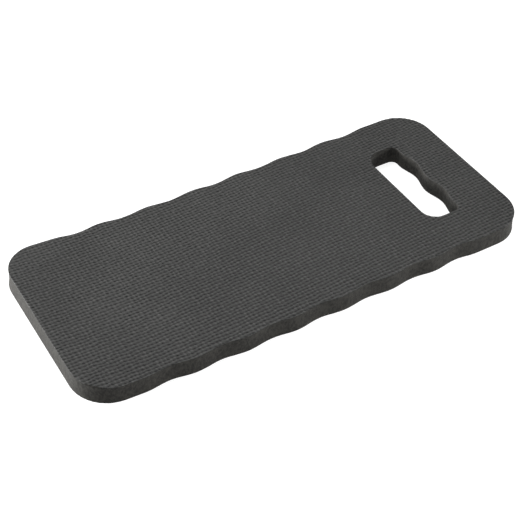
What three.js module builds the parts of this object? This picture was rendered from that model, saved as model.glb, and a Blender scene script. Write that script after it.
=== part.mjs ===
// Foam kneeling pad: a flat, die-cut slab of closed-cell foam. Both long sides are scalloped, the
// corners are round, and a hand slot with a finger-waved grip goes right through near one end.
//
// Units are millimetres. +X runs along the pad towards the hand slot, +Y across its width, and +Z
// up from the face that rests on the ground. The origin is the middle of that resting face.

import * as THREE from 'three';

// Slab
const PAD_LENGTH = 450;
const PAD_WIDTH = 195;
const PAD_THICKNESS = 18;
const SKIN_THICKNESS = 1.5; // dense embossed layer on each face of the cellular core
const CORNER_RADIUS = 34;

// Shallow hollows along each long side
const SCALLOP_COUNT = 7;
const SCALLOP_PITCH = 48.6;
const SCALLOP_DEPTH = 2.6;
const SCALLOP_MIDDLE = -2.5; // X of the middle of the scalloped stretch

// Hand slot: straight on the side of the knees, waved on the side that the fingers curl round
const SLOT_LENGTH = 109;
const SLOT_STRAIGHT_X = 143.5;
const SLOT_STRAIGHT_CORNER_RADIUS = 15;
const GRIP_MIDDLE_X = 180; // mean line of the finger wave
const GRIP_WAVE_DEPTH = 4;
const GRIP_WAVE_PITCH = 44;
const GRIP_CORNER_RADIUS = 6.5;

// Fineness of the faceted outlines
const POINTS_PER_WAVE = 12;
const ARC_SEGMENTS = 10;

// Distance of a long side from the centre line, at a place along the pad.
function sideDistance(x) {
  const start = SCALLOP_MIDDLE - (SCALLOP_COUNT * SCALLOP_PITCH) / 2;
  const phase = (2 * Math.PI * (x - start)) / SCALLOP_PITCH;
  return PAD_WIDTH / 2 - (SCALLOP_DEPTH / 2) * (1 - Math.cos(phase));
}

// X of the grip side of the slot. The foam bulges into the slot at y = 0 and one pitch either side.
function gripX(y) {
  const phase = (2 * Math.PI * y) / GRIP_WAVE_PITCH;
  return GRIP_MIDDLE_X - (GRIP_WAVE_DEPTH / 2) * Math.cos(phase);
}

// Adds one scalloped long side to the outline. side is 1 at +Y and -1 at -Y, and the side runs
// towards +X when direction is 1.
function addScallops(shape, side, direction) {
  const steps = SCALLOP_COUNT * POINTS_PER_WAVE;
  for (let i = 0; i <= steps; i++) {
    const x = SCALLOP_MIDDLE + direction * SCALLOP_PITCH * (i / POINTS_PER_WAVE - SCALLOP_COUNT / 2);
    shape.lineTo(x, side * sideDistance(x));
  }
}

// The finger wave, from +Y to -Y between the two grip corners.
function addGripWave(path) {
  const reach = SLOT_LENGTH / 2 - GRIP_CORNER_RADIUS;
  const steps = Math.round((2 * reach * POINTS_PER_WAVE) / GRIP_WAVE_PITCH);
  for (let i = 0; i <= steps; i++) {
    const y = reach * (1 - (2 * i) / steps);
    path.lineTo(gripX(y), y);
  }
}

// The slot's outline, clockwise from the middle of its straight side.
function slotPath() {
  const halfLength = SLOT_LENGTH / 2;
  const wide = SLOT_STRAIGHT_CORNER_RADIUS;
  const tight = GRIP_CORNER_RADIUS;
  const wideX = SLOT_STRAIGHT_X + wide;
  const tightX = gripX(halfLength - tight) - tight;
  const path = new THREE.Path();
  path.moveTo(SLOT_STRAIGHT_X, 0);
  path.absarc(wideX, halfLength - wide, wide, Math.PI, Math.PI / 2, true);
  path.absarc(tightX, halfLength - tight, tight, Math.PI / 2, 0, true);
  addGripWave(path);
  path.absarc(tightX, tight - halfLength, tight, 0, -Math.PI / 2, true);
  path.absarc(wideX, wide - halfLength, wide, -Math.PI / 2, -Math.PI, true);
  path.closePath();
  return path;
}

// The pad's plan: a round-cornered oblong with scalloped long sides, anticlockwise, and the slot.
function padShape() {
  const cornerX = PAD_LENGTH / 2 - CORNER_RADIUS;
  const cornerY = PAD_WIDTH / 2 - CORNER_RADIUS;
  const shape = new THREE.Shape();
  shape.moveTo(PAD_LENGTH / 2, -cornerY);
  shape.absarc(cornerX, cornerY, CORNER_RADIUS, 0, Math.PI / 2, false);
  addScallops(shape, 1, -1);
  shape.absarc(-cornerX, cornerY, CORNER_RADIUS, Math.PI / 2, Math.PI, false);
  shape.absarc(-cornerX, -cornerY, CORNER_RADIUS, Math.PI, 1.5 * Math.PI, false);
  addScallops(shape, -1, 1);
  shape.absarc(cornerX, -cornerY, CORNER_RADIUS, 1.5 * Math.PI, 2 * Math.PI, false);
  shape.closePath();
  shape.holes.push(slotPath());
  return shape;
}

// One layer of the slab, from height bottom to height top.
function layer(name, bottom, top, material) {
  const geometry = new THREE.ExtrudeGeometry(padShape(), {
    depth: top - bottom,
    bevelEnabled: false,
    curveSegments: ARC_SEGMENTS / 2,
  });
  const mesh = new THREE.Mesh(geometry, material);
  mesh.name = name;
  mesh.position.z = bottom;
  return mesh;
}

function foam(color, roughness) {
  return new THREE.MeshStandardMaterial({ color, roughness, metalness: 0 });
}

const coreBottom = SKIN_THICKNESS;
const coreTop = PAD_THICKNESS - SKIN_THICKNESS;

const pad = new THREE.Group();
pad.add(layer('bottom_skin', 0, coreBottom, foam(0x454543, 0.8)));
pad.add(layer('foam_core', coreBottom, coreTop, foam(0x3c3b38, 0.9)));
pad.add(layer('top_skin', coreTop, PAD_THICKNESS, foam(0x4b4b48, 0.8)));

export default pad;
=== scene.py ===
"""A charcoal foam kneeling pad: embossed skins on a die-cut cellular core.

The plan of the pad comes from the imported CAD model. This script gives it what the plain CAD layers
leave out: the embossed dimples, the soft cut edges, the slightly hollow cut sides, the foam's
cells and its gentle curl. Lengths named here are in millimetres, and Blender gets metres.
"""

import math

import bpy
import numpy as np
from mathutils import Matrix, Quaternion, Vector, noise
from mathutils.geometry import delaunay_2d_cdt


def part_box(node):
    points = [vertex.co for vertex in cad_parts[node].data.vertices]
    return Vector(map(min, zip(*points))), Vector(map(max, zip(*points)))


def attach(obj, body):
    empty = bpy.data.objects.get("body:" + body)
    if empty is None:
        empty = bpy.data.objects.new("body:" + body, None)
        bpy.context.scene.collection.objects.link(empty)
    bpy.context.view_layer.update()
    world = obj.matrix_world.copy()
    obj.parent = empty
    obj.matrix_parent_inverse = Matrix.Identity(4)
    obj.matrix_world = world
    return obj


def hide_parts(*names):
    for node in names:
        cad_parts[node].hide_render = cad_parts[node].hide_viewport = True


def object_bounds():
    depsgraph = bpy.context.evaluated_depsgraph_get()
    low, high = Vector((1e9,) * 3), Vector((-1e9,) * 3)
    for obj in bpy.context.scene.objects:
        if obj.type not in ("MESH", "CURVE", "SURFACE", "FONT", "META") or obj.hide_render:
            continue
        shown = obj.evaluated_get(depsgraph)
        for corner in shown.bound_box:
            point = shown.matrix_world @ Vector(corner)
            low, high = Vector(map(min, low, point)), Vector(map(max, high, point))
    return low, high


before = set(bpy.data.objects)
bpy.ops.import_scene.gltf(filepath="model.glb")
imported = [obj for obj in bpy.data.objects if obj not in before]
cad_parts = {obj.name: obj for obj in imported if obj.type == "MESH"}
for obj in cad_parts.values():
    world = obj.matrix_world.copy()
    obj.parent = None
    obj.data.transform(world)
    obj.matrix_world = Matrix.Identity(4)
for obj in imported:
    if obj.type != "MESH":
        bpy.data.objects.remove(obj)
cad_low, cad_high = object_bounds()

MM = 0.001
RANDOM_SEED = 7
noise.seed_set(RANDOM_SEED)

# The pad in the frame
LENGTH, WIDTH, THICKNESS = (Vector(cad_high) - Vector(cad_low)) / MM
SKIN_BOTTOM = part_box("top_skin")[0].z / MM  # where the top skin meets the core
HALF_LENGTH = LENGTH / 2

# The foam's lie: the plain end lifts off the ground, more and more towards its edge
CURL_LIFT = 8.36
CURL_TWIST = 0.37  # extra lift at the far long side
CURL_POWER = 3

# Embossing: rows of small slanted oval pits, pressed by a woven mesh
PIT_PITCH_ALONG = 4.02
PIT_PITCH_ACROSS = 3.64
PIT_TURN = math.radians(1.5)
PIT_DEPTH = 0.85
PIT_SLANT = math.radians(31)  # clockwise from the row
PIT_HALF_LENGTH, PIT_HALF_WIDTH = 2.9, 1.25
PIT_SPREAD = 0.2  # how much the pits' depths differ
PIT_ALTERNATE = 0.15  # every other pit is shallower, where the mesh's thread passed under
ROW_GROOVE = 0.32  # depth between two pits of a row, as a share of theirs
# The slit at the bottom of each pit, a dent darkened with painted shade, and the knob between four
# pits, a bump lightened with a painted highlight
SLIT_HALF_LENGTH, SLIT_HALF_WIDTH = 2.1, 0.65
KNOB_HALF_LENGTH, KNOB_HALF_WIDTH = 1.8, 0.75
MARK_SHIFT, MARK_TILT = 0.12, math.radians(12)  # their uneven places, in pitches, and turns
# How far the embossing mesh strays from straight: in slow waves, and thread by thread
MESH_WANDER, MESH_WANDER_SPAN = 0.5, 55.0
THREAD_WANDER, THREAD_WANDER_SPAN = 1.0, 8.0
# Places of the surface's points within one pitch, from -0.5 to 0.5
STOPS_ALONG = (-0.5, -0.27, 0.0, 0.27)
STOPS_ACROSS = (-0.5, -0.25, 0.0, 0.25)
SKIN_RELIEF, SKIN_RELIEF_SPAN = 0.05, 2.3

# Cut edges
TOP_LIP, BOTTOM_LIP = 0.6, 0.35
SLOT_END_LIP = 2.4  # at the slot's far end and the worn corner, where the top face bends down
WORN_CORNER_REACH = 16.0
LIP_DROP = 1.5  # a lip's greatest height
LIP_STEPS = 4
LIP_PIT_SHARE = 0.7  # how far the pits run over the lip
# Painted shade: the darker cut foam on a wide lip stands partly for the shade where the top face
# bends down
WIDE_LIP = 2 * TOP_LIP  # a wider lip shows the cut foam
SIDE_HOLLOW = 0.55
SIDE_HOLLOW_SPREAD = 0.25
SIDE_HOLLOW_SPAN = 40.0
CELL_RELIEF = 0.05
CELL_SIZE = 1.3

# Mesh steps
FINE_OUTLINE_STEP = 0.4
OUTLINE_SMOOTHING = 5  # fine steps to each side
SKIN_OUTLINE_STEP = 1.3
CORE_OUTLINE_STEP = 0.8
CORE_HEIGHT_STEP = 0.7
CAP_GRID = 8.0
RIM_CLEARANCE = 0.4
SHARP_ANGLE = math.radians(55)

# Skin colour: how much each mark changes the mix from dark to light foam. The pit and slit marks are
# painted shade, the knob mark a painted highlight
SKIN_LEVEL = 0.39
PIT_PAINTED_SHADE = 0.15
SLIT_PAINTED_SHADE = 0.41
KNOB_PAINTED_HIGHLIGHT = 0.56

# Camera, at the height and angle from which the pad is seen, in millimetres and degrees
CAMERA_AZIMUTH, CAMERA_ELEVATION, CAMERA_ROLL = -29.7, 42.9, -0.69
CAMERA_DISTANCE = 1131.0
CAMERA_TARGET = (-10.0, -5.4, 0.0)
CAMERA_LENS, CAMERA_SENSOR = 85.17, 36.0

# Floor and light. Each light: name, azimuth and elevation in degrees, distance and size in metres,
# watts. The floor is a lit sheet, so it stays white beside the pad and in the slot.
FLOOR_SIZE = 60.0
FLOOR_COLOUR = (0.35, 0.35, 0.345, 1.0)
FLOOR_GLOW = 0.88
STUDIO_LIGHTS = (
    ("low_left_light", 145, 7, 1.4, (0.9, 0.35), 64),
    ("left_light", 170, 30, 1.4, (0.9, 0.6), 8),
    ("top_back_light", 90, 65, 1.6, (1.2, 0.6), 15),
    ("low_right_light", -35, 8, 1.4, (0.9, 0.35), 26),
    ("right_front_light", -60, 20, 1.4, (0.9, 0.35), 2),
)
WORLD_LIGHT = 0.3
BACKDROP_WHITE = 1.0


# --- camera, floor and light ---------------------------------------------------------------------


def make_camera():
    azimuth, elevation = math.radians(CAMERA_AZIMUTH), math.radians(CAMERA_ELEVATION)
    level = math.cos(elevation)
    back = Vector(
        (math.sin(azimuth) * level, -math.cos(azimuth) * level, math.sin(elevation))
    )
    data = bpy.data.cameras.new("camera")
    data.lens = CAMERA_LENS
    data.sensor_width = CAMERA_SENSOR
    camera = bpy.data.objects.new("camera", data)
    camera.location = (Vector(CAMERA_TARGET) + back * CAMERA_DISTANCE) * MM
    aim = (-back).to_track_quat("-Z", "Y")
    roll = Quaternion((0, 0, 1), math.radians(CAMERA_ROLL))
    camera.rotation_mode = "QUATERNION"
    camera.rotation_quaternion = aim @ roll
    bpy.context.scene.collection.objects.link(camera)
    bpy.context.scene.camera = camera


def make_light(name, azimuth, elevation, distance, size, power):
    """A rectangular soft light that faces the pad. Azimuth 0 is +X and 90 is +Y."""
    turn, rise = math.radians(azimuth), math.radians(elevation)
    away = Vector((math.cos(turn), math.sin(turn), math.tan(rise))).normalized()
    data = bpy.data.lights.new(name, "AREA")
    data.shape = "RECTANGLE"
    data.size, data.size_y = size
    data.energy = power
    light = bpy.data.objects.new(name, data)
    light.location = away * distance
    light.rotation_mode = "QUATERNION"
    light.rotation_quaternion = (-away).to_track_quat("-Z", "Y")
    light.visible_camera = False
    bpy.context.scene.collection.objects.link(light)


def make_studio():
    for name, azimuth, elevation, distance, size, power in STUDIO_LIGHTS:
        make_light(name, azimuth, elevation, distance, size, power)
    bpy.context.scene.view_settings.view_transform = "Standard"


def make_backdrop():
    """A weak even light from all round that itself looks white."""
    world = bpy.data.worlds.new("backdrop")
    world.use_nodes = True
    nodes, links = world.node_tree.nodes, world.node_tree.links
    strength = nodes.new("ShaderNodeMapRange")
    strength.inputs["To Min"].default_value = WORLD_LIGHT
    strength.inputs["To Max"].default_value = BACKDROP_WHITE
    background = nodes["Background"]
    background.inputs["Color"].default_value = (1.0, 1.0, 1.0, 1.0)
    seen = nodes.new("ShaderNodeLightPath").outputs["Is Camera Ray"]
    links.new(seen, strength.inputs["Value"])
    links.new(strength.outputs["Result"], background.inputs["Strength"])
    bpy.context.scene.world = world


def make_floor():
    half = FLOOR_SIZE / 2
    mesh = bpy.data.meshes.new("floor")
    corners = [(-half, -half, 0), (half, -half, 0), (half, half, 0), (-half, half, 0)]
    mesh.from_pydata(corners, [], [(0, 1, 2, 3)])
    floor = bpy.data.objects.new("floor", mesh)
    bpy.context.scene.collection.objects.link(floor)
    material = bpy.data.materials.new("pale_floor")
    material.use_nodes = True
    shader = material.node_tree.nodes["Principled BSDF"]
    shader.inputs["Base Color"].default_value = FLOOR_COLOUR
    shader.inputs["Roughness"].default_value = 0.9
    shader.inputs["Specular IOR Level"].default_value = 0.2
    shader.inputs["Emission Color"].default_value = (1.0, 1.0, 1.0, 1.0)
    shader.inputs["Emission Strength"].default_value = FLOOR_GLOW
    mesh.materials.append(material)


# --- the plan, from the CAD layers ---------------------------------------------------------------


def plan_loops(node):
    """The closed outlines of a CAD layer's upper face, longest first, as points in millimetres."""
    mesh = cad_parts[node].data
    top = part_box(node)[1].z
    sides = {}
    for face in mesh.polygons:
        corners = [mesh.vertices[i].co for i in face.vertices]
        if all(abs(c.z - top) < 1e-6 for c in corners):
            keys = [(round(c.x / MM, 3), round(c.y / MM, 3)) for c in corners]
            for a, b in zip(keys, keys[1:] + keys[:1]):
                sides.setdefault(frozenset((a, b)), []).append((a, b))
    following = {e[0][0]: e[0][1] for e in sides.values() if len(e) == 1}
    loops = []
    while following:
        start = next(iter(following))
        loop = [start]
        while following[loop[-1]] != start:
            loop.append(following.pop(loop[-1]))
        following.pop(loop[-1])
        loops.append(np.array(loop, float))
    return sorted(loops, key=lambda p: -np.ptp(p[:, 0]))


def even_loop(loop, step):
    """The loop with points about step apart, and its facets smoothed into curves."""
    closed = np.vstack([loop, loop[:1]])
    along = np.r_[0, np.cumsum(np.linalg.norm(np.diff(closed, axis=0), axis=1))]
    count = int(along[-1] / FINE_OUTLINE_STEP)
    places = np.arange(count) * along[-1] / count
    points = np.c_[
        np.interp(places, along, closed[:, 0]), np.interp(places, along, closed[:, 1])
    ]
    reach = OUTLINE_SMOOTHING
    weights = np.hanning(2 * reach + 3)[1:-1]
    smooth = sum(
        w * np.roll(points, k, axis=0)
        for w, k in zip(weights, range(-reach, reach + 1))
    )
    smooth /= weights.sum()
    wanted = int(along[-1] / step)
    picked = np.arange(wanted) * len(smooth) / wanted
    low = picked.astype(int)
    share = (picked - low)[:, None]
    return smooth[low] * (1 - share) + smooth[(low + 1) % len(smooth)] * share


def inward(loop):
    """Unit vectors from each point of the loop into the foam, which lies to the loop's left."""
    along = np.roll(loop, -1, axis=0) - np.roll(loop, 1, axis=0)
    along /= np.linalg.norm(along, axis=1)[:, None]
    return np.c_[-along[:, 1], along[:, 0]]


def edges_of(loops):
    starts = np.vstack(loops)
    ends = np.vstack([np.roll(loop, -1, axis=0) for loop in loops])
    return starts, ends


def in_chunks(function, points, size=3000):
    return np.concatenate(
        [function(points[i : i + size]) for i in range(0, len(points), size)]
    )


def is_inside(points, starts, ends):
    """Whether each point is inside the closed edges, by counting how many lie to its right."""

    def odd(part):
        y = part[:, 1:2]
        spans = (starts[:, 1] > y) != (ends[:, 1] > y)
        rise = ends[:, 1] - starts[:, 1]
        rise = np.where(rise == 0, 1, rise)
        crossing = starts[:, 0] + (y - starts[:, 1]) * (ends[:, 0] - starts[:, 0]) / rise
        return (spans & (crossing > part[:, :1])).sum(1) % 2 == 1

    return in_chunks(odd, points)


def edge_distance(points, starts, ends):
    """Distance from each point to the nearest edge."""
    run = ends - starts
    length_squared = (run**2).sum(1)

    def nearest(part):
        dx = part[:, :1] - starts[:, 0]
        dy = part[:, 1:2] - starts[:, 1]
        t = np.clip((dx * run[:, 0] + dy * run[:, 1]) / length_squared, 0, 1)
        return np.hypot(dx - t * run[:, 0], dy - t * run[:, 1]).min(1)

    return in_chunks(nearest, points)


# --- mesh building -------------------------------------------------------------------------------


class Shape:
    """Points in flat, uncurled pad millimetres and faces that share them."""

    def __init__(self):
        self.points = []
        self.faces = []
        self.materials = []
        self.pits = []

    def add_points(self, points, pits=None):
        """Adds the points and the painted shade of each, from 0 to 1 in a pit; gives their numbers.
        """
        first = len(self.points)
        self.points.extend(map(tuple, points))
        self.pits.extend(np.zeros(len(points)) if pits is None else pits)
        return list(range(first, first + len(points)))

    def add_faces(self, faces, material):
        self.faces.extend(faces)
        self.materials.extend([material] * len(faces))

    def bridge(self, ring, following, material):
        """Joins two rings of equal length with quads, of one material or one for each quad."""
        n = len(ring)
        quads = [
            (ring[i], following[i], following[(i + 1) % n], ring[(i + 1) % n])
            for i in range(n)
        ]
        self.faces.extend(quads)
        self.materials.extend(np.broadcast_to(material, n).tolist())


def curled(points):
    """Flat pad points moved onto the curled pad, keeping the foam square to its own underside."""
    points = np.array(points, float)
    share = np.maximum(0, -points[:, 0] / HALF_LENGTH)
    full_lift = CURL_LIFT + CURL_TWIST * points[:, 1] / (WIDTH / 2)
    lift = full_lift * share**CURL_POWER
    slope = -CURL_POWER * full_lift / HALF_LENGTH * share ** (CURL_POWER - 1)
    stretch = np.sqrt(1 + slope**2)
    x = points[:, 0] - points[:, 2] * slope / stretch
    z = lift + points[:, 2] / stretch
    return np.c_[x, points[:, 1], z]


def make_object(name, shape, materials, upside_down=False):
    """The shape as a curled piece, which keeps the painted shade of its pits and lips and its places
    on the embossing mesh.
    """
    points = np.array(shape.points, float)
    faces = shape.faces
    if upside_down:
        points[:, 2] = THICKNESS - points[:, 2]
        faces = [face[::-1] for face in faces]
    mesh = bpy.data.meshes.new(name)
    mesh.from_pydata((curled(points) * MM).tolist(), [], faces)
    for material in materials:
        mesh.materials.append(material)
    mesh.polygons.foreach_set("material_index", shape.materials)
    pit = mesh.attributes.new("pit", "FLOAT", "POINT")
    pit.data.foreach_set("value", np.array(shape.pits, np.float32))
    u, v = pad_to_mesh(points[:, :2])
    places = np.c_[u + v, v, np.zeros(len(points))]
    weave = mesh.attributes.new("weave", "FLOAT_VECTOR", "POINT")
    weave.data.foreach_set("vector", places.astype(np.float32).ravel())
    mesh.shade_smooth()
    mesh.set_sharp_from_angle(angle=SHARP_ANGLE)
    mesh.update()
    piece = bpy.data.objects.new(name, mesh)
    bpy.context.scene.collection.objects.link(piece)
    return piece


# --- the embossed skins --------------------------------------------------------------------------


def scatter(i, j, salt):
    """An even random number from -1 to 1 for each pit."""
    value = np.sin(i * 12.9898 + j * 78.233 + salt * 37.719 + RANDOM_SEED) * 43758.5453
    return 2 * (value - np.floor(value)) - 1


def bump(t):
    """1 in the middle of a pitch, 0 at its ends and past them."""
    return np.cos(np.pi * np.clip(t, -0.5, 0.5)) ** 2


def pit_share(u, v):
    """Share of the full pit depth at lattice places u along the rows and v across, in pitches."""
    j = np.floor(v + 0.5)
    i = np.floor(u + v + 0.5) - j
    x, y = (u - i) * PIT_PITCH_ALONG, (v - j) * PIT_PITCH_ACROSS
    along = x * math.cos(PIT_SLANT) - y * math.sin(PIT_SLANT)
    across = x * math.sin(PIT_SLANT) + y * math.cos(PIT_SLANT)
    oval = bump(np.hypot(along / PIT_HALF_LENGTH, across / PIT_HALF_WIDTH) / 2)
    oval *= (1 + PIT_SPREAD * scatter(i, j, 3)) * (1 - PIT_ALTERNATE * ((i + j) % 2))
    groove = ROW_GROOVE * bump(v - j)
    return groove + (1 - ROW_GROOVE) * oval


def wander(points):
    """How far the embossing mesh lies from straight, in millimetres."""
    total = np.zeros((len(points), 2))
    for size, span in (
        (MESH_WANDER, MESH_WANDER_SPAN),
        (THREAD_WANDER, THREAD_WANDER_SPAN),
    ):
        moved = [noise.noise_vector(Vector((x / span, y / span, 0.37))) for x, y in points]
        total += size * np.array([(v.x, v.y) for v in moved])
    return total


def mesh_to_pad(u, v):
    """Lattice places to pad millimetres."""
    x, y = u * PIT_PITCH_ALONG, v * PIT_PITCH_ACROSS
    cos, sin = math.cos(PIT_TURN), math.sin(PIT_TURN)
    points = np.c_[x * cos - y * sin, x * sin + y * cos]
    return points + wander(points)


def pad_to_mesh(points):
    """Pad millimetres to lattice places."""
    x, y = (points - wander(points)).T
    cos, sin = math.cos(PIT_TURN), math.sin(PIT_TURN)
    return (x * cos + y * sin) / PIT_PITCH_ALONG, (y * cos - x * sin) / PIT_PITCH_ACROSS


def unevenness(points):
    """Slight highs and lows of the moulded face, in millimetres."""
    span = SKIN_RELIEF_SPAN
    fine = [noise.noise(Vector((x / span, y / span, 5.2))) for x, y in points]
    return SKIN_RELIEF * np.array(fine)


def lattice():
    """The lines of the embossing mesh: lattice places, row by row, and the row length."""
    columns = int(LENGTH / PIT_PITCH_ALONG / 2) + 3
    rows = int(WIDTH / PIT_PITCH_ACROSS / 2) + 5
    along = [i + stop for i in range(-columns, columns) for stop in STOPS_ALONG]
    across = [j + stop for j in range(-rows, rows) for stop in STOPS_ACROSS]
    u, v = np.meshgrid(along, across)
    return u.ravel(), v.ravel(), len(along)


def lip_widths(loops, lip, end_lip):
    """How wide the round lip is at each point of the outline and of the slot."""
    outline, slot = loops
    corner = np.array([-HALF_LENGTH, -WIDTH / 2])
    worn = np.exp(-(((outline - corner) ** 2).sum(1)) / WORN_CORNER_REACH**2)
    far_end = np.clip(inward(slot)[:, 1], 0, 1) ** 2
    return [lip + (end_lip - lip) * worn, lip + (end_lip - lip) * far_end]


def face_of_skin(loops, lips):
    """The embossed face inside the lip: the shape, and the rings of its edge, loop by loop."""
    rims = [loop + lip[:, None] * inward(loop) for loop, lip in zip(loops, lips)]
    u, v, row = lattice()
    places = mesh_to_pad(u, v)
    pits = pit_share(u, v)
    starts, ends = edges_of(rims)
    inside = is_inside(places, starts, ends)
    clear = np.zeros(len(places))
    clear[inside] = edge_distance(places[inside], starts, ends)

    corner = np.arange(len(places) - row)
    corner = corner[corner % row != row - 1]
    quads = np.c_[corner, corner + 1, corner + 1 + row, corner + row]
    quads = quads[(clear[quads] > RIM_CLEARANCE).all(1)]
    used = np.unique(quads)

    shape = Shape()
    rings = []
    for rim, lip in zip(rims, lips):
        rim_pits = LIP_PIT_SHARE * pit_share(*pad_to_mesh(rim))
        heights = THICKNESS - np.minimum(PIT_DEPTH * rim_pits, 0.8 * lip)
        rings.append(shape.add_points(np.c_[rim, heights], rim_pits))
    heights = THICKNESS - PIT_DEPTH * pits + unevenness(places)
    index = np.full(len(places), -1)
    index[used] = shape.add_points(np.c_[places, heights][used], pits[used])
    quads = index[quads]
    shape.add_faces(quads.tolist(), 0)

    # Between the last whole quads and the rim, triangles
    sides = np.vstack([quads[:, [k, (k + 1) % 4]] for k in range(4)])
    _, first, times = np.unique(
        np.sort(sides, axis=1), axis=0, return_index=True, return_counts=True
    )
    fill(shape, rings, sides[first[times == 1]])
    return shape, rings


def fill(shape, rings, border=(), points=()):
    """Triangles inside the rings, through the points and up to the border's edges, if any."""
    border = np.array(border, int).reshape(-1, 2)
    used = [i for ring in rings for i in ring]
    used += sorted(set(border.ravel().tolist())) + list(points)
    local = {g: k for k, g in enumerate(used)}
    ring_edges = [
        (local[a], local[b]) for ring in rings for a, b in zip(ring, ring[1:] + ring[:1])
    ]
    border_edges = [(local[a], local[b]) for a, b in border.tolist()]
    xy = np.array([shape.points[i][:2] for i in used])
    flat = [Vector(p) for p in xy.tolist()]
    out = delaunay_2d_cdt(flat, ring_edges + border_edges, [], 0, 1e-6, False)
    assert len(out[0]) == len(flat)
    triangles = np.array(out[2])
    centres = xy[triangles].mean(1)
    ends = np.array(ring_edges)
    keep = is_inside(centres, xy[ends[:, 0]], xy[ends[:, 1]])
    if border_edges:
        ends = np.array(border_edges)
        keep &= ~is_inside(centres, xy[ends[:, 0]], xy[ends[:, 1]])
    chosen = triangles[keep]
    first, second = xy[chosen[:, 1]] - xy[chosen[:, 0]], xy[chosen[:, 2]] - xy[chosen[:, 0]]
    clockwise = first[:, 0] * second[:, 1] < first[:, 1] * second[:, 0]
    chosen[clockwise] = chosen[clockwise][:, ::-1]
    shape.add_faces([[used[i] for i in t] for t in chosen.tolist()], 0)


def side_inset(loop, height):
    """How far the cut side stands in from the outline at a height: the middle is hollow."""
    level = 2 * height / THICKNESS - 1
    span = SIDE_HOLLOW_SPAN
    change = [
        1 + SIDE_HOLLOW_SPREAD * noise.noise(Vector((x / span, y / span, 3.1)))
        for x, y in loop
    ]
    return SIDE_HOLLOW * (1 - level * level) * np.array(change)


def plain_face(shape, rings, height, material, faces_up):
    """Closes the rings with a face that has enough points inside it to follow the curl."""
    starts, ends = edges_of([np.array([shape.points[i][:2] for i in r]) for r in rings])
    xs = np.arange(-HALF_LENGTH, HALF_LENGTH, CAP_GRID)
    ys = np.arange(-WIDTH / 2, WIDTH / 2, CAP_GRID)
    grid = np.array([(x, y) for x in xs for y in ys])
    clear = edge_distance(grid, starts, ends) > CAP_GRID / 4
    grid = grid[is_inside(grid, starts, ends) & clear]
    points = shape.add_points(np.c_[grid, np.full(len(grid), height)])
    begun = len(shape.faces)
    fill(shape, rings, points=points)
    shape.materials[begun:] = [material] * (len(shape.faces) - begun)
    if not faces_up:
        shape.faces[begun:] = [f[::-1] for f in shape.faces[begun:]]


def make_skin(name, materials, lip, end_lip, upside_down=False):
    """One dense skin: embossed face, round lip, cut side and the plain face against the core."""
    loops = [even_loop(loop, SKIN_OUTLINE_STEP) for loop in plan_loops("top_skin")]
    lips = lip_widths(loops, lip, end_lip)
    shape, rings = face_of_skin(loops, lips)
    last = []
    for loop, width, ring in zip(loops, lips, rings):
        normal = inward(loop)
        foot = THICKNESS - np.minimum(width, LIP_DROP)
        crest = np.array([shape.points[i][2] for i in ring]) - foot
        pits = np.array([shape.pits[i] for i in ring])
        for step in range(1, LIP_STEPS + 1):
            angle = math.pi / 2 * step / LIP_STEPS
            heights = foot + crest * math.cos(angle)
            inset = width * (1 - math.sin(angle)) + side_inset(loop, heights)
            points = loop + normal * inset[:, None]
            # Painted shade: the lip darkens towards its side, and the pits' darkness fades out over
            # it
            shade = np.maximum(pits * math.cos(angle), math.sin(angle))
            following = shape.add_points(np.c_[points, heights], shade)
            # A wide lip takes the cut foam from its second step down, partly as painted shade on the
            # bend
            is_cut = (step == LIP_STEPS) | ((step > 1) & (width > WIDE_LIP))
            shape.bridge(ring, following, is_cut.astype(int))
            ring = following
        heights = np.full(len(loop), SKIN_BOTTOM)
        points = loop + normal * side_inset(loop, heights)[:, None]
        following = shape.add_points(np.c_[points, heights])
        shape.bridge(ring, following, 1)
        last.append(following)
    plain_face(shape, last, SKIN_BOTTOM, 1, faces_up=False)
    return make_object(name, shape, materials, upside_down)


# --- the cellular core ---------------------------------------------------------------------------


def cell_relief(points):
    """Small bumps of the cut cells, outwards in millimetres."""
    return [
        CELL_RELIEF * noise.noise(Vector(p) / CELL_SIZE)
        + CELL_RELIEF * noise.noise(Vector(p) / (3 * CELL_SIZE))
        for p in points
    ]


def make_core(materials):
    loops = [even_loop(loop, CORE_OUTLINE_STEP) for loop in plan_loops("foam_core")]
    low, high = THICKNESS - SKIN_BOTTOM, SKIN_BOTTOM
    steps = round((high - low) / CORE_HEIGHT_STEP)
    shape = Shape()
    tops, bottoms = [], []
    for loop in loops:
        normal = inward(loop)
        ring = None
        for step in range(steps + 1):
            height = high + (low - high) * step / steps
            inset = side_inset(loop, height)
            points = np.c_[loop, np.full(len(loop), height)]
            points[:, :2] += normal * inset[:, None]
            if 0 < step < steps:
                points[:, :2] -= normal * np.array(cell_relief(points))[:, None]
            following = shape.add_points(points)
            if ring is None:
                tops.append(following)
            else:
                shape.bridge(ring, following, 0)
            ring = following
        bottoms.append(ring)
    plain_face(shape, tops, high, 0, faces_up=True)
    plain_face(shape, bottoms, low, 0, faces_up=False)
    return make_object("die_cut_core", shape, materials)


# --- materials -----------------------------------------------------------------------------------


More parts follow.
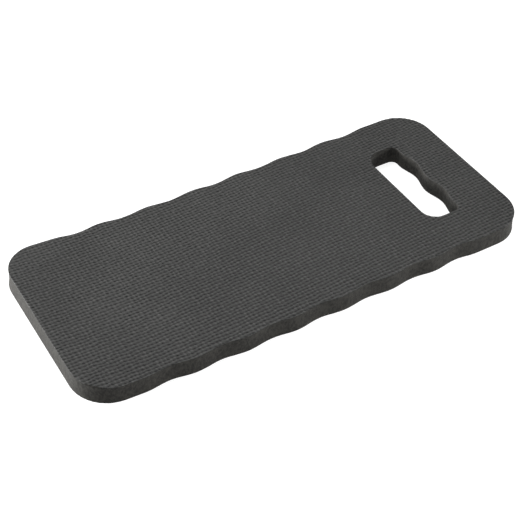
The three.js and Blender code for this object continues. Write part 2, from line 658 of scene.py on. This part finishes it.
class Nodes:
    """Short ways to add and join shader nodes."""

    def __init__(self, name):
        self.material = bpy.data.materials.new(name)
        self.material.use_nodes = True
        self.tree = self.material.node_tree
        self.shader = self.tree.nodes["Principled BSDF"]
        self.place = self.add("ShaderNodeTexCoord").outputs["Object"]

    def add(self, kind):
        return self.tree.nodes.new(kind)

    def join(self, source, target):
        self.tree.links.new(source, target)

    def noise(self, scale, detail=2.0, roughness=0.5, stretch=None):
        node = self.add("ShaderNodeTexNoise")
        node.inputs["Scale"].default_value = scale
        node.inputs["Detail"].default_value = detail
        node.inputs["Roughness"].default_value = roughness
        place = self.place
        if stretch:
            mapping = self.add("ShaderNodeMapping")
            mapping.inputs["Scale"].default_value = stretch
            self.join(place, mapping.inputs["Vector"])
            place = mapping.outputs["Vector"]
        self.join(place, node.inputs["Vector"])
        return node.outputs["Fac"]

    def cells(self, scale):
        node = self.add("ShaderNodeTexVoronoi")
        node.inputs["Scale"].default_value = scale
        self.join(self.place, node.inputs["Vector"])
        return node.outputs["Distance"]

    def attribute(self, name, output="Fac"):
        node = self.add("ShaderNodeAttribute")
        node.attribute_name = name
        return node.outputs[output]

    def vector(self, operation, a, b=None):
        node = self.add("ShaderNodeVectorMath")
        node.operation = operation
        for socket, value in zip(node.inputs, (a, b)):
            if isinstance(value, (tuple, Vector)):
                socket.default_value = value
            elif value is not None:
                self.join(value, socket)
        one_number = operation in ("LENGTH", "DOT_PRODUCT")
        return node.outputs["Value" if one_number else "Vector"]

    def combine(self, x, y):
        node = self.add("ShaderNodeCombineXYZ")
        self.join(x, node.inputs["X"])
        self.join(y, node.inputs["Y"])
        return node.outputs["Vector"]

    def turned(self, place, angle):
        node = self.add("ShaderNodeVectorRotate")
        node.rotation_type = "Z_AXIS"
        self.join(place, node.inputs["Vector"])
        self.join(angle, node.inputs["Angle"])
        return node.outputs["Vector"]

    def chance(self, place):
        """Even random numbers from 0 to 1 for each whole-number place: three, and the third."""
        node = self.add("ShaderNodeTexWhiteNoise")
        self.join(place, node.inputs["Vector"])
        split = self.add("ShaderNodeSeparateColor")
        self.join(node.outputs["Color"], split.inputs["Color"])
        return node.outputs["Color"], split.outputs["Blue"]

    def spread(self, value, low, high, out_low, out_high):
        """value from low..high to out_low..out_high, held at both ends."""
        node = self.add("ShaderNodeMapRange")
        for name, number in (
            ("From Min", low),
            ("From Max", high),
            ("To Min", out_low),
            ("To Max", out_high),
        ):
            node.inputs[name].default_value = number
        self.join(value, node.inputs["Value"])
        return node.outputs["Result"]

    def math(self, operation, a, b):
        node = self.add("ShaderNodeMath")
        node.operation = operation
        for socket, value in zip(node.inputs, (a, b)):
            if isinstance(value, (int, float)):
                socket.default_value = value
            else:
                self.join(value, socket)
        return node.outputs["Value"]

    def tint(self, dark, light, share):
        node = self.add("ShaderNodeMix")
        node.data_type = "RGBA"
        colour_a, colour_b = [s for s in node.inputs if s.type == "RGBA"]
        colour_a.default_value = (*dark, 1)
        colour_b.default_value = (*light, 1)
        self.join(share, node.inputs["Factor"])
        return next(s for s in node.outputs if s.type == "RGBA")

    def bump(self, height, strength, distance, before=None):
        node = self.add("ShaderNodeBump")
        node.inputs["Strength"].default_value = strength
        node.inputs["Distance"].default_value = distance
        self.join(height, node.inputs["Height"])
        if before is not None:
            self.join(before, node.inputs["Normal"])
        return node.outputs["Normal"]


def marks(n, row_share, half_length, half_width):
    """Slanted ovals, one per pitch of the mesh: 1 in the middle, 0 outside; and a random number."""
    moved = n.vector("ADD", n.attribute("weave", "Vector"), (0.5, 0.5 - row_share, 0))
    cell = n.vector("FLOOR", moved)
    colour, number = n.chance(cell)
    local = n.vector("SUBTRACT", n.vector("SUBTRACT", moved, cell), (0.5, 0.5, 0))
    shift = n.vector("SUBTRACT", colour, (0.5, 0.5, 0.5))
    shift = n.vector("MULTIPLY", shift, (2 * MARK_SHIFT, 2 * MARK_SHIFT, 0))
    local = n.vector("ADD", local, shift)
    x = n.vector("DOT_PRODUCT", local, (PIT_PITCH_ALONG, -PIT_PITCH_ALONG, 0))
    y = n.vector("DOT_PRODUCT", local, (0, PIT_PITCH_ACROSS, 0))
    angle = n.spread(number, 0, 1, PIT_SLANT - MARK_TILT, PIT_SLANT + MARK_TILT)
    turned = n.turned(n.combine(x, y), angle)
    size = n.vector("LENGTH", n.vector("DIVIDE", turned, (half_length, half_width, 1)))
    odd = n.math("FLOORED_MODULO", n.vector("DOT_PRODUCT", cell, (1, 0, 0)), 2)
    return n.spread(size, 0.4, 1.15, 1, 0), number, odd


def skin_material(name, dark, light):
    """Dense closed foam face: satin charcoal with painted shade in the pits, slits and lips and
    painted highlights on the knobs, with a fine grain.
    """
    n = Nodes(name)
    cloud = n.spread(n.noise(16, 3), 0.35, 0.65, -0.04, 0.04)
    speck = n.spread(n.noise(900, 2, 0.6), 0.3, 0.7, -0.12, 0.12)
    grain = n.noise(2600, 2, 0.6)
    pit = n.attribute("pit")
    # Painted shade darkens the slits and a painted highlight lightens the knobs; both also shape the
    # bump
    slit, number, odd = marks(n, 0.0, SLIT_HALF_LENGTH, SLIT_HALF_WIDTH)
    slit = n.math("MULTIPLY", slit, n.spread(number, 0, 1, 0.7, 1.0))
    slit = n.math("MULTIPLY", slit, n.spread(odd, 0, 1, 1.0, 0.7))
    knob, number, odd = marks(n, 0.5, KNOB_HALF_LENGTH, KNOB_HALF_WIDTH)
    knob = n.math("MULTIPLY", knob, n.spread(number, 0, 1, 0.1, 0.8))
    level = n.math("ADD", n.math("ADD", cloud, speck), SKIN_LEVEL)
    # Painted shade in the pits and on the lips' sides
    level = n.math("SUBTRACT", level, n.math("MULTIPLY", pit, PIT_PAINTED_SHADE))
    level = n.math("SUBTRACT", level, n.math("MULTIPLY", slit, SLIT_PAINTED_SHADE))
    level = n.math("ADD", level, n.math("MULTIPLY", knob, KNOB_PAINTED_HIGHLIGHT))
    n.join(n.tint(dark, light, level), n.shader.inputs["Base Color"])
    rough = n.spread(grain, 0.3, 0.7, 0.5, 0.66)
    n.join(n.math("ADD", rough, n.math("MULTIPLY", pit, 0.2)), n.shader.inputs["Roughness"])
    fine = n.bump(grain, 0.35, 0.00012)
    fine = n.bump(n.cells(1500), 0.2, 0.0001, fine)
    n.join(n.bump(n.math("SUBTRACT", knob, slit), 0.6, 0.0004, fine), n.shader.inputs["Normal"])
    n.shader.inputs["Specular IOR Level"].default_value = 0.34
    return n.material


def cut_material(name, dark, light):
    """Cut foam: dull and dark, mottled and grainy, with the cells showing."""
    n = Nodes(name)
    mottle = n.spread(n.noise(110, 4, 0.65), 0.3, 0.7, -0.3, 0.3)
    grain = n.noise(430, 3, 0.65, (1, 1, 0.7))
    speck = n.spread(grain, 0.3, 0.7, -0.8, 0.8)
    cells = n.cells(1300)
    level = n.math("ADD", n.math("ADD", mottle, speck), 0.5)
    level = n.math("ADD", level, n.spread(cells, 0.0, 0.7, -0.16, 0.12))
    n.join(n.tint(dark, light, level), n.shader.inputs["Base Color"])
    n.join(n.spread(cells, 0.0, 0.7, 0.94, 0.8), n.shader.inputs["Roughness"])
    rough = n.bump(grain, 0.7, 0.0006)
    n.join(n.bump(cells, 0.45, 0.0003, rough), n.shader.inputs["Normal"])
    n.shader.inputs["Specular IOR Level"].default_value = 0.2
    return n.material


# --- the pad -------------------------------------------------------------------------------------

make_camera()
make_studio()
make_backdrop()
make_floor()

skin = skin_material("embossed_foam_skin", (0.0034, 0.0034, 0.0033), (0.080, 0.080, 0.077))
cut = cut_material("cut_foam", (0.0092, 0.0088, 0.0078), (0.0222, 0.0212, 0.0186))

finishes = [skin, cut]
top = make_skin("embossed_top_skin", finishes, TOP_LIP, SLOT_END_LIP)
bottom = make_skin("embossed_bottom_skin", finishes, BOTTOM_LIP, BOTTOM_LIP, upside_down=True)
core = make_core([cut])

for piece, node in ((top, "top_skin"), (core, "foam_core"), (bottom, "bottom_skin")):
    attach(piece, "root")
    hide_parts(node)
